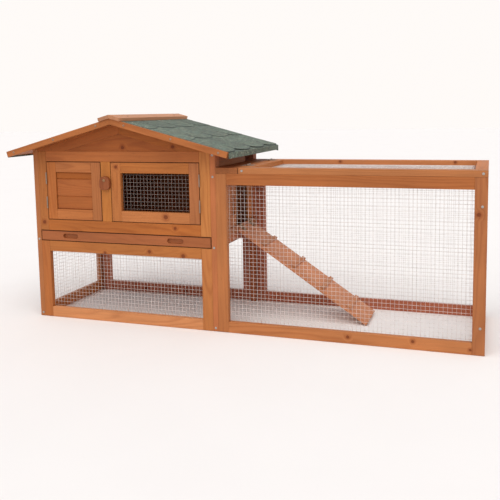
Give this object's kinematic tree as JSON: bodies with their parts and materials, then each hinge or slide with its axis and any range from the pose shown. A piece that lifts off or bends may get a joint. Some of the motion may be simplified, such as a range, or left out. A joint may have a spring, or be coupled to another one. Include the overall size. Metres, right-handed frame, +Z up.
{
  "type": "rabbit cage",
  "caption": "Wooden two-storey rabbit cage: gable-roofed house with doors, pull-out tray and mesh base, beside a mesh run with hinged lid and ramp.",
  "frame": {"origin": "centre of the bounding box at floor level", "axes": "+X along the front from the house towards the run, +Y from the front to the back, +Z up"},
  "size_m": [1.5674, 0.537, 0.7068],
  "materials": {
    "stained_fir": "orange-brown stained planed fir",
    "inner_timber": "stained fir, inside faces",
    "cap_timber": "paler stained fir",
    "button_timber": "dark stained hardwood",
    "mineral_felt": "green mineral-surfaced roofing felt",
    "galvanised_wire": "galvanised welded wire",
    "zinc_hardware": "zinc-plated steel"
  },
  "bodies": {
    "cage": {"house_left_frame": "stained_fir", "house_left_boards": "stained_fir", "house_right_frame": "stained_fir", "house_right_boards": "stained_fir", "slide_door_guides": "inner_timber", "front_lower_frame": "stained_fir", "front_upper_frame": "stained_fir", "front_middle_post": "stained_fir", "gable_rafters_front": "stained_fir", "gable_panel_front": "stained_fir", "gable_rafters_rear": "stained_fir", "gable_panel_rear": "stained_fir", "house_back_frame": "stained_fir", "house_back_boards": "stained_fir", "tray_runners": "inner_timber", "roof_board_left": "stained_fir", "roof_board_right": "stained_fir", "barge_board_left": "stained_fir", "barge_board_right": "stained_fir", "run_front_frame": "stained_fir", "run_back_frame": "stained_fir", "run_end_frame": "stained_fir", "run_top_board": "stained_fir", "house_left_mesh": "galvanised_wire", "front_lower_mesh": "galvanised_wire", "house_back_mesh": "galvanised_wire", "run_front_mesh": "galvanised_wire", "run_back_mesh": "galvanised_wire", "run_end_mesh": "galvanised_wire", "roof_felt_left": "mineral_felt", "roof_felt_right": "mineral_felt", "roof_shingles_left": "mineral_felt", "roof_shingles_right": "mineral_felt", "ridge_cap_left": "cap_timber", "ridge_cap_right": "cap_timber", "door_left_hinge_frame_side": "zinc_hardware", "door_right_hinge_frame_side": "zinc_hardware", "lid_hinge_board_side": "zinc_hardware", "ramp_hinge_wall_side": "zinc_hardware", "turn_button_screw": "zinc_hardware", "frame_screws": "zinc_hardware", "barge_screws": "zinc_hardware", "cap_screws": "zinc_hardware"},
    "left_door": {"door_left_frame": "stained_fir", "door_left_boards": "stained_fir", "door_left_hinge_door_side": "zinc_hardware"},
    "right_door": {"door_right_frame": "stained_fir", "door_right_mesh": "galvanised_wire", "door_right_hinge_door_side": "zinc_hardware"},
    "button": {"turn_button": "button_timber"},
    "tray": {"tray_front": "stained_fir", "tray_pan": "inner_timber"},
    "sliding_door": {"slide_door": "stained_fir"},
    "lid": {"lid_frame": "stained_fir", "lid_mesh": "galvanised_wire", "lid_hinge_lid_side": "zinc_hardware", "lid_screws": "zinc_hardware"},
    "ramp": {"ramp_board": "stained_fir", "ramp_cleats": "stained_fir", "ramp_hinge_ramp_side": "zinc_hardware"}
  },
  "joints": [
    {"name": "left_door_hinge", "type": "hinge", "parent": "cage", "child": "left_door", "pos_m": [-0.665, -0.2073, 0.45], "axis": [0, 0, -1], "range_deg": [0, 170]},
    {"name": "right_door_hinge", "type": "hinge", "parent": "cage", "child": "right_door", "pos_m": [-0.09, -0.2073, 0.45], "axis": [0, 0, 1], "range_deg": [0, 170]},
    {"name": "button_turn", "type": "hinge", "parent": "cage", "child": "button", "pos_m": [-0.43175, -0.2105, 0.489], "axis": [0, 1, 0], "range_deg": [-90, 90]},
    {"name": "tray_slide", "type": "slide", "parent": "cage", "child": "tray", "axis": [0, -1, 0], "range_m": [0, 0.36]},
    {"name": "sliding_door_slide", "type": "slide", "parent": "cage", "child": "sliding_door", "axis": [0, 1, 0], "range_m": [0, 0.148]},
    {"name": "lid_hinge", "type": "hinge", "parent": "cage", "child": "lid", "pos_m": [0.0405, 0.0015, 0.5372], "axis": [0, -1, 0], "range_deg": [0, 95]},
    {"name": "ramp_hinge", "type": "hinge", "parent": "cage", "child": "ramp", "pos_m": [-0.02755, 0.0595, 0.31284], "axis": [0, -1, 0], "range_deg": [0, 50]}
  ]
}
